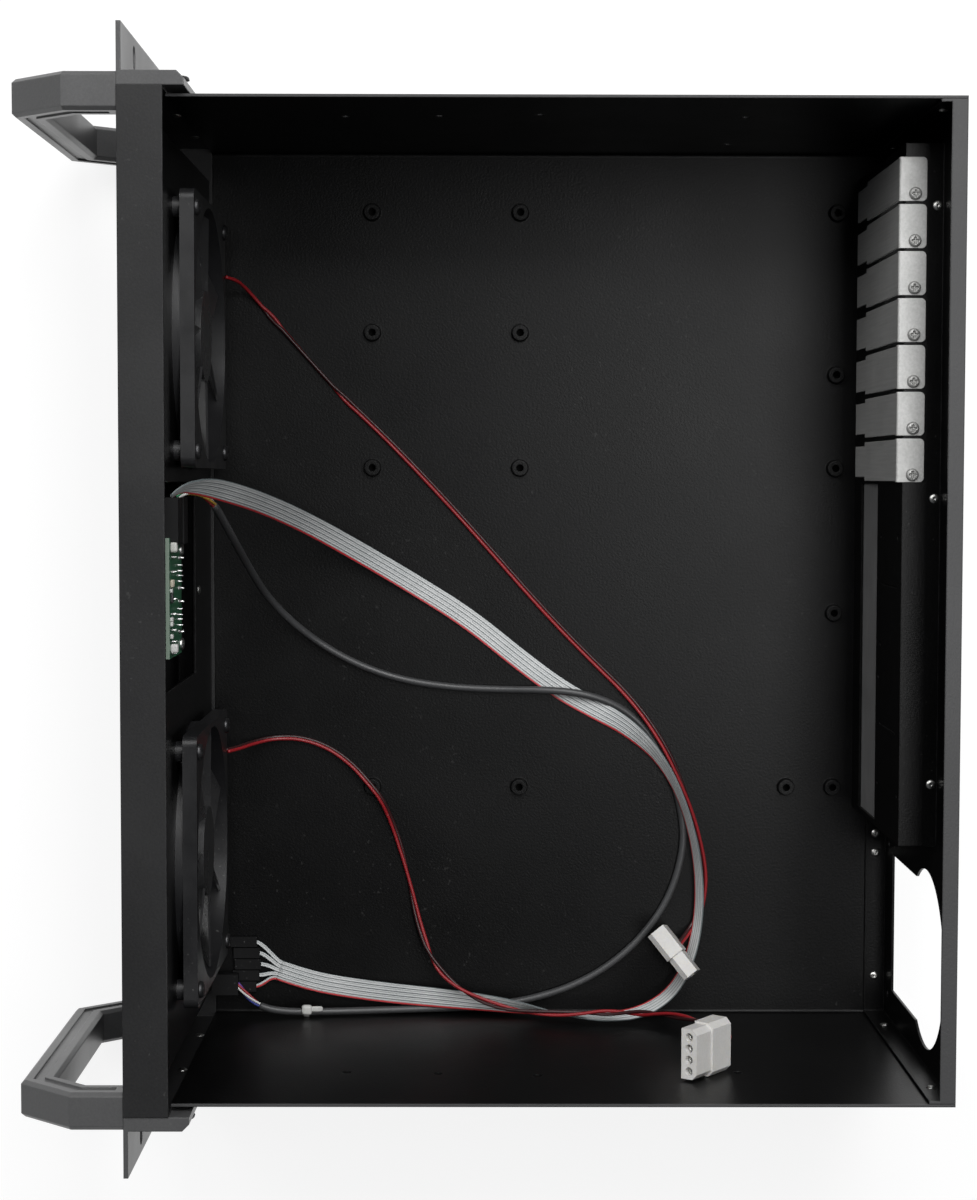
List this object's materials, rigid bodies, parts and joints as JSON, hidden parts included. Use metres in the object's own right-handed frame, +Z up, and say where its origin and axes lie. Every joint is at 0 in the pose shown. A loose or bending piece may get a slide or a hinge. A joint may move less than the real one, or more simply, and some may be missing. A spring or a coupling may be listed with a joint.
{
  "type": "rack-mount server case",
  "caption": "Open-topped rack-mount server case: folded steel tray with fans behind a vented front, bow handles, rack ears, slot covers, a supply opening and loose leads.",
  "frame": {"origin": "under the middle of the case, at the level of its underside", "axes": "+X to the right seen from the front, +Y towards the back, +Z up"},
  "size_m": [0.4826, 0.3998, 0.177],
  "materials": {
    "black_coat": "fine-textured matt powder coat",
    "handle_coat": "satin coat",
    "cover_steel": "plain rolled sheet",
    "plated_steel": "zinc plated",
    "fan_plastic": "moulded, half gloss",
    "circuit_green": "solder mask",
    "post_brass": "turned",
    "chip_black": "moulded",
    "socket_steel": "tinned sheet",
    "socket_tongue": "moulded",
    "button_grey": "moulded, satin",
    "lamp_lens": "clear moulding",
    "ribbon_grey": "soft vinyl",
    "sheath_grey": "soft vinyl",
    "lead_red": "soft vinyl",
    "plug_ivory": "moulded nylon"
  },
  "bodies": {
    "case": {"base_tray": "black_coat", "front_bulkhead": "black_coat", "front_panel": "black_coat", "rear_panel": "black_coat", "left_rack_ear": "black_coat", "right_rack_ear": "black_coat", "left_handle": "handle_coat", "right_handle": "handle_coat", "slot_cover_1": "cover_steel", "slot_cover_2": "cover_steel", "slot_cover_3": "cover_steel", "slot_cover_4": "cover_steel", "slot_cover_5": "cover_steel", "slot_cover_6": "cover_steel", "slot_cover_7": "cover_steel", "port_plate": "cover_steel", "handle_screws": "plated_steel", "ear_screws": "plated_steel", "slot_cover_screws": "plated_steel", "fan_screws": "plated_steel", "board_screws": "plated_steel", "panel_rivets": "plated_steel", "fan_frame_left": "fan_plastic", "fan_frame_right": "fan_plastic", "front_board": "circuit_green", "board_posts": "post_brass", "board_chips": "chip_black", "power_switch": "chip_black", "reset_switch": "chip_black", "ribbon_header": "chip_black", "usb_header": "chip_black", "panel_lead_plugs": "chip_black", "board_plug": "chip_black", "usb_socket_left": "socket_steel", "usb_socket_right": "socket_steel", "usb_tongue_left": "socket_tongue", "usb_tongue_right": "socket_tongue", "indicator_lamps": "lamp_lens", "ribbon_cable": "ribbon_grey", "usb_cable": "sheath_grey", "upper_fan_lead": "lead_red", "lower_fan_lead": "lead_red", "upper_fan_plug": "plug_ivory", "lower_fan_plug": "plug_ivory"},
    "left_rotor": {"fan_rotor_left": "fan_plastic"},
    "right_rotor": {"fan_rotor_right": "fan_plastic"},
    "power_cap": {"power_button": "button_grey"},
    "reset_cap": {"reset_button": "button_grey"}
  },
  "joints": [
    {"name": "left_fan_spin", "type": "hinge", "parent": "case", "child": "left_rotor", "pos_m": [-0.1181, -0.138, 0.0802], "axis": [0, 1, 0], "continuous": true},
    {"name": "right_fan_spin", "type": "hinge", "parent": "case", "child": "right_rotor", "pos_m": [0.1181, -0.138, 0.0802], "axis": [0, 1, 0], "continuous": true},
    {"name": "power_press", "type": "slide", "parent": "case", "child": "power_cap", "axis": [0, 1, 0], "range_m": [0, 0.0016], "stiffness_N_per_m": 600},
    {"name": "reset_press", "type": "slide", "parent": "case", "child": "reset_cap", "axis": [0, 1, 0], "range_m": [0, 0.0016], "stiffness_N_per_m": 500}
  ]
}
